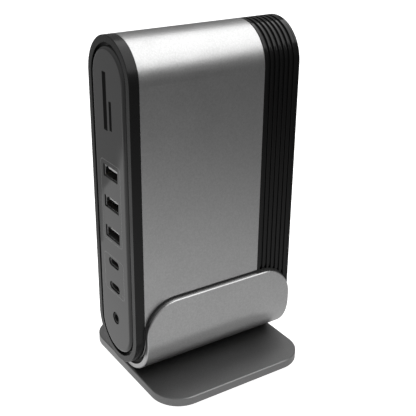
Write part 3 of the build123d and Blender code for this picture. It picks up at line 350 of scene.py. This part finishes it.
def make_materials():
    """Finishes by record slot, and two more: dark_tongue and contact_gold."""
    return {
        "stand_metal": surface("stand_metal", grey(0.225), 0.42, 1.0, 2600, 0.10, 0.03, 0.25),
        "cradle_metal": surface("cradle_metal", grey(0.46), 0.36, 1.0, 1500, 0.09, 0.03, 0.30),
        "sleeve_metal": surface("sleeve_metal", grey(0.44), 0.34, 1.0, 1500, 0.08, 0.03, 0.30),
        "foot_rubber": surface("foot_rubber", grey(0.02), 0.7, grain=900, bump=0.3),
        "liner_rubber": surface("liner_rubber", grey(0.012), 0.75, grain=900, bump=0.3),
        "bezel_plastic": surface(
            "bezel_plastic", grey(0.005), 0.26, grain=2600, bump=0.04, Specular_IOR_Level=0.26,
        ),
        "panel_plastic": print_outlines(surface(
            "panel_plastic", grey(0.022), 0.06, grain=1800, tint=0.03, spread=0.015, bump=0.0,
        )),
        "ribbed_plastic": surface(
            "ribbed_plastic", grey(0.003), 0.13, grain=1800, bump=0.01, Specular_IOR_Level=0.26,
        ),
        "frame_plastic": surface("frame_plastic", grey(0.035), 0.5),
        "light_pipe": surface("light_pipe", grey(0.10), 0.2, bump=0.0),
        "socket_plastic": surface("socket_plastic", grey(0.008), 0.5, Specular_IOR_Level=0.2),
        "socket_metal": surface("socket_metal", grey(0.50), 0.28, 1.0, 3000, 0.05),
        "tongue_plastic": surface("tongue_plastic", grey(0.42), 0.45),
        "spreader_metal": surface("spreader_metal", grey(0.62), 0.35, 1.0, 2200),
        "thermal_pad": surface("thermal_pad", (0.35, 0.40, 0.48), 0.8, bump=0.3),
        "chip_resin": surface("chip_resin", grey(0.02), 0.55),
        "capacitor_metal": surface("capacitor_metal", grey(0.66), 0.3, 1.0),
        "board_laminate": surface("board_laminate", (0.01, 0.07, 0.03), 0.35),
        "screw_steel": surface("screw_steel", grey(0.10), 0.35, 1.0),
        "dark_tongue": surface("dark_tongue", grey(0.012), 0.5, Specular_IOR_Level=0.2),
        "contact_gold": surface("contact_gold", (0.85, 0.58, 0.22), 0.25, 1.0, 3000, 0.05),
    }


def dress_cad_nodes(materials):
    """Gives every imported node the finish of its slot; USB-C and HDMI tongues get a dark one."""
    for entry in frame["record"]["subparts"]:
        node = frame["nodes"][entry["node"]]
        finish = entry["material_slot"]
        if entry["node"].startswith(("usb_c_tongue", "hdmi_tongue")):
            finish = "dark_tongue"
        for place in node.material_slots:
            place.material = materials[finish]


# ---------------------------------------------------------------- connector details
FRONT_LIP_STAND = 0.45 * MM
REAR_LIP_STAND = 0.3 * MM
LIP_ROOT = 0.05 * MM
LIP_SOFTEN = 0.08 * MM
LIP_SHRINK = 0.10 * MM
USB_A_LIP_WALL = 0.38 * MM
USB_C_LIP_WALL = 0.22 * MM
USB_A_LIP_CORNER = 0.45 * MM
LEAST_CORNER = 0.10 * MM


def rounded_outline(half_width, half_height, corner, steps=5):
    """Points of a rounded rectangle about the origin, as (across, up) pairs."""
    points = []
    for quarter in range(4):
        cx = (half_width - corner) * (1, -1, -1, 1)[quarter]
        cz = (half_height - corner) * (1, 1, -1, -1)[quarter]
        for step in range(steps + 1):
            angle = math.radians(90 * quarter + 90 * step / steps)
            points.append((cx + corner * math.cos(angle), cz + corner * math.sin(angle)))
    return points


def add_ring(bm, centre, outer, inner, front_y, back_y, soften):
    """Closed ring between two outlines with its front edges eased by the given amount."""
    facing = 1 if back_y > front_y else -1
    cx, cz = centre

    def row(points, y, grow=0.0):
        made = []
        for x, z in points:
            size = math.hypot(x, z)
            k = 1 + grow / size
            made.append(bm.verts.new((cx + x * k, y, cz + z * k)))
        return made

    rows = [
        row(outer, back_y),
        row(outer, front_y + facing * soften),
        row(outer, front_y, -soften),
        row(inner, front_y, soften),
        row(inner, front_y + facing * soften),
        row(inner, back_y),
    ]
    count = len(outer)
    for index, near in enumerate(rows):
        far = rows[(index + 1) % len(rows)]
        for i in range(count):
            j = (i + 1) % count
            bm.faces.new((near[i], near[j], far[j], far[i]))


def finish_piece(name, bm, material, body="dock"):
    """Turns a bmesh into a piece that rides with a body."""
    bmesh.ops.recalc_face_normals(bm, faces=bm.faces)
    mesh = bpy.data.meshes.new(name)
    bm.to_mesh(mesh)
    bm.free()
    mesh.materials.append(material)
    piece = bpy.data.objects.new(name, mesh)
    bpy.context.scene.collection.objects.link(piece)
    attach(piece, body)
    return piece


def add_block(bm, low, high, bevel):
    """Small block between two corners, with its edges bevelled."""
    made = bmesh.ops.create_cube(bm, size=1.0)["verts"]
    for vert in made:
        vert.co = Vector([
            low[i] + (vert.co[i] + 0.5) * (high[i] - low[i]) for i in range(3)
        ])
    edges = {edge for vert in made for edge in vert.link_edges}
    bmesh.ops.bevel(bm, geom=list(edges), offset=bevel, segments=2, profile=0.5, affect="EDGES")


def facing_of(low, high):
    """-1 for a front connector, whose mouth looks along -Y, and 1 for a rear one."""
    return -1 if low[1] + high[1] < 0 else 1


def make_port_lips(materials):
    """Folded mouths of the USB shells, just inside the openings."""
    for entry in frame["record"]["subparts"]:
        name = entry["node"]
        if not name.startswith(("usb_a_shell", "usb_c_shell")):
            continue
        low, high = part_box(name)
        side = facing_of(low, high)
        face = low.y if side < 0 else high.y
        half_width = (high.x - low.x) / 2 - LIP_SHRINK
        half_height = (high.z - low.z) / 2 - LIP_SHRINK
        corner = USB_A_LIP_CORNER if "usb_a" in name else half_height
        wall = USB_A_LIP_WALL if "usb_a" in name else USB_C_LIP_WALL
        outer = rounded_outline(half_width, half_height, corner)
        inner = rounded_outline(
            half_width - wall, half_height - wall, max(corner - wall, LEAST_CORNER)
        )
        stand = FRONT_LIP_STAND if side < 0 else REAR_LIP_STAND
        bm = bmesh.new()
        centre = ((low.x + high.x) / 2, (low.z + high.z) / 2)
        front_y, back_y = face + side * stand, face - side * LIP_ROOT
        add_ring(bm, centre, outer, inner, front_y, back_y, LIP_SOFTEN)
        finish_piece(name.replace("shell", "mouth"), bm, materials["socket_metal"])


CONTACT_SETBACK = 0.35 * MM
CONTACT_HALF_THICKNESS = 0.06 * MM
CONTACT_BEVEL = 0.03 * MM
# Blades on each kind of tongue: count, pitch, width, length, then the tongue's height above the
# socket's middle, its half thickness, and the faces that carry blades (-1 below, 1 above)
CONTACTS = {
    "usb_a_tongue": (4, 2.3 * MM, 1.0 * MM, 8.0 * MM, 1.15 * MM, 0.92 * MM, (-1,)),
    "hdmi_tongue": (10, 1.0 * MM, 0.45 * MM, 8.0 * MM, 0.3 * MM, 0.75 * MM, (-1, 1)),
    "usb_c_tongue": (12, 0.5 * MM, 0.25 * MM, 4.0 * MM, 0.0, 0.35 * MM, (-1, 1)),
}


def make_contacts(materials):
    """Rows of contact blades on the connector tongues."""
    for entry in frame["record"]["subparts"]:
        name = entry["node"]
        kind = name.rsplit("_", 1)[0]
        if kind not in CONTACTS:
            continue
        count, pitch, width, length, rise, half_thickness, carrying = CONTACTS[kind]
        low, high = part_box(name)
        side = facing_of(low, high)
        tip = low.y if side < 0 else high.y
        start = tip - side * CONTACT_SETBACK
        end = start - side * length
        y_low, y_high = min(start, end), max(start, end)
        centre_z = (low.z + high.z) / 2 + rise
        bm = bmesh.new()
        for index in range(count):
            x = (index - (count - 1) / 2) * pitch
            for above in carrying:
                z = centre_z + above * half_thickness
                add_block(
                    bm,
                    (x - width / 2, y_low, z - CONTACT_HALF_THICKNESS),
                    (x + width / 2, y_high, z + CONTACT_HALF_THICKNESS),
                    CONTACT_BEVEL,
                )
        piece_name = name.replace("tongue", "contacts")
        finish_piece(piece_name, bm, materials["contact_gold"])


# ---------------------------------------------------------------- cradle lining with painted gap shadow
# The lining stands this far above the cradle's edge; that dark strip is painted shadow of the gap
# between cradle and housing
SHADE_LINING_RISE = 0.78 * MM
SHADE_LINING_GAP = 0.03 * MM
SHADE_LINING_THICKNESS = 0.20 * MM
SHADE_LINING_FOOT_RISE = 0.2 * MM
CRADLE_CORNER = 16.0 * MM
CORNER_STEPS = 18
CORNER_STEP_DEGREES = 5


def make_cradle_shade_lining(materials):
    """Thin dark lining inside both cradle walls, raised above their upper edges as a dark line:
    painted shadow of the gap between cradle and housing.
    """
    low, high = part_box("cradle")
    sleeve_low, sleeve_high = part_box("housing_sleeve")
    centre_z = high.z - CRADLE_CORNER
    radius = CRADLE_CORNER + SHADE_LINING_RISE
    # The sheets start just above the axis of the housing's round bottom
    foot = (sleeve_high.x + sleeve_low.z) + SHADE_LINING_FOOT_RISE
    outline = [(low.y - SHADE_LINING_RISE, foot)]
    for centre_y, first in ((low.y + CRADLE_CORNER, 180), (high.y - CRADLE_CORNER, 90)):
        for step in range(CORNER_STEPS + 1):
            angle = math.radians(first - CORNER_STEP_DEGREES * step)
            y = centre_y + radius * math.cos(angle)
            z = centre_z + radius * math.sin(angle)
            outline.append((y, z))
    outline.append((high.y + SHADE_LINING_RISE, foot))
    bm = bmesh.new()
    for side in (-1, 1):
        near = side * (sleeve_high.x + SHADE_LINING_GAP)
        far = near + side * SHADE_LINING_THICKNESS
        rings = [[bm.verts.new((x, y, z)) for y, z in outline] for x in (near, far)]
        for ring in rings:
            bm.faces.new(ring)
        count = len(outline)
        for i in range(count):
            j = (i + 1) % count
            bm.faces.new((rings[0][i], rings[0][j], rings[1][j], rings[1][i]))
    # Dark strip above the cradle edges: painted shadow of the gap
    finish_piece("cradle_shade_lining", bm, materials["liner_rubber"], "stand")


# ---------------------------------------------------------------- network pins
PIN_COUNT = 8
PIN_PITCH = 1.02 * MM
PIN_WIDTH = 0.40 * MM
PIN_THICKNESS = 0.30 * MM
PIN_SLOPE = 0.22
PIN_BEVEL = 0.05 * MM
PIN_ROOF_DROP = 2.5 * MM
PIN_BACK_GAP = 5.5 * MM
PIN_FRONT_GAP = 2.5 * MM


def make_network_pins(materials):
    """Eight sprung pins that slope down from the roof of the network jack."""
    low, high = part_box("ethernet_jack")
    roof = high.z - PIN_ROOF_DROP
    back = low.y + PIN_BACK_GAP
    front = high.y - PIN_FRONT_GAP
    bm = bmesh.new()
    for index in range(PIN_COUNT):
        x = (index - (PIN_COUNT - 1) / 2) * PIN_PITCH
        add_block(
            bm,
            (x - PIN_WIDTH / 2, back, roof - PIN_THICKNESS),
            (x + PIN_WIDTH / 2, front, roof),
            PIN_BEVEL,
        )
    for vert in bm.verts:
        vert.co.z -= (front - vert.co.y) * PIN_SLOPE
    finish_piece("network_pins", bm, materials["contact_gold"])


make_camera()
make_world()
make_stage()
finishes = make_materials()
dress_cad_nodes(finishes)
make_port_lips(finishes)
make_contacts(finishes)
make_network_pins(finishes)
make_cradle_shade_lining(finishes)
bpy.context.scene.view_settings.view_transform = "Standard"
